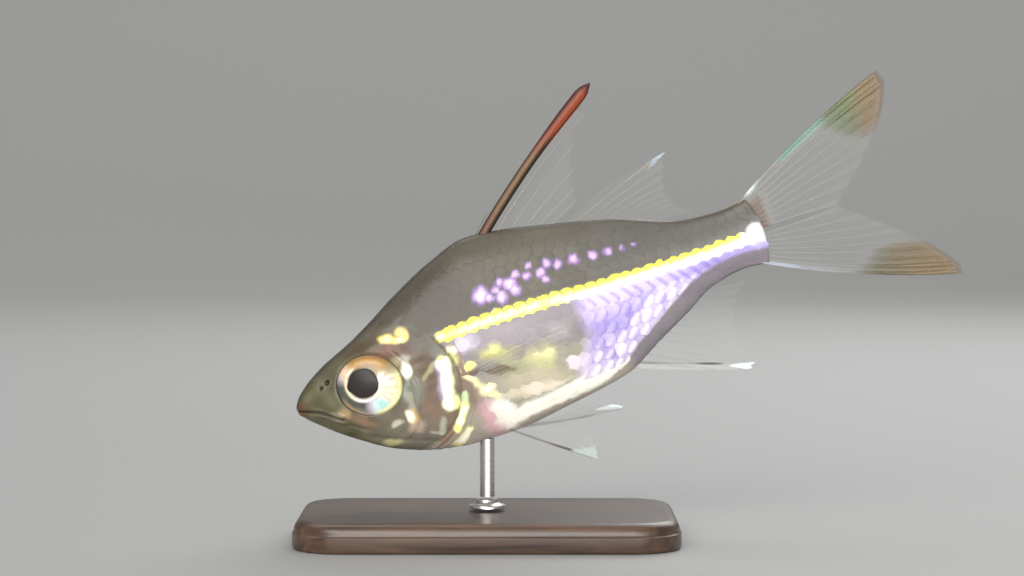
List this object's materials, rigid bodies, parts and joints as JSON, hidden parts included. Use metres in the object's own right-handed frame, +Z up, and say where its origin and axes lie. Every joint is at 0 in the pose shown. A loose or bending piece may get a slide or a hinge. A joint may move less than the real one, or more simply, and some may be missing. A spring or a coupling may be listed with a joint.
{
  "type": "glass perch",
  "caption": "Life-size still model of a long-spined glass perch, nose down, with a deep flat body, big eyes, a very long back-fin spine and a forked tail, held by one rod on a small flat base",
  "frame": {"origin": "The middle of the flat underside of the stand's base", "axes": "+Z up, the fish looks along -X with its nose down, and its left side faces -Y"},
  "size_m": [0.0811, 0.028, 0.0569],
  "materials": {
    "flesh": "moist translucent skin with small pearly scales",
    "gill_cover": "silvery gold, glossy",
    "eye": "clear and glossy over a gold and silver iris",
    "fin_web": "clear membrane between pale rays",
    "long_spine_fin": "orange-red spine with a black tip and a smoky membrane",
    "tail_fin_web": "clear membrane, yellow-green to orange towards the tips",
    "stand_wood": "dark stained, satin",
    "stand_metal": "fine brushed"
  },
  "bodies": {
    "root": {"head": "flesh", "nape": "flesh", "lower_jaw": "flesh", "trunk": "flesh", "tail_stalk": "flesh", "gill_cover_left": "gill_cover", "gill_cover_right": "gill_cover", "eye_left": "eye", "eye_right": "eye", "dorsal_fin_spiny": "long_spine_fin", "dorsal_fin_soft": "fin_web", "anal_fin": "fin_web", "pectoral_fin_left": "fin_web", "pectoral_fin_right": "fin_web", "pelvic_fin_left": "fin_web", "pelvic_fin_right": "fin_web", "tail_fin_upper": "tail_fin_web", "tail_fin_lower": "tail_fin_web", "stand_base": "stand_wood", "stand_collar": "stand_metal", "stand_rod": "stand_metal"}
  },
  "joints": []
}
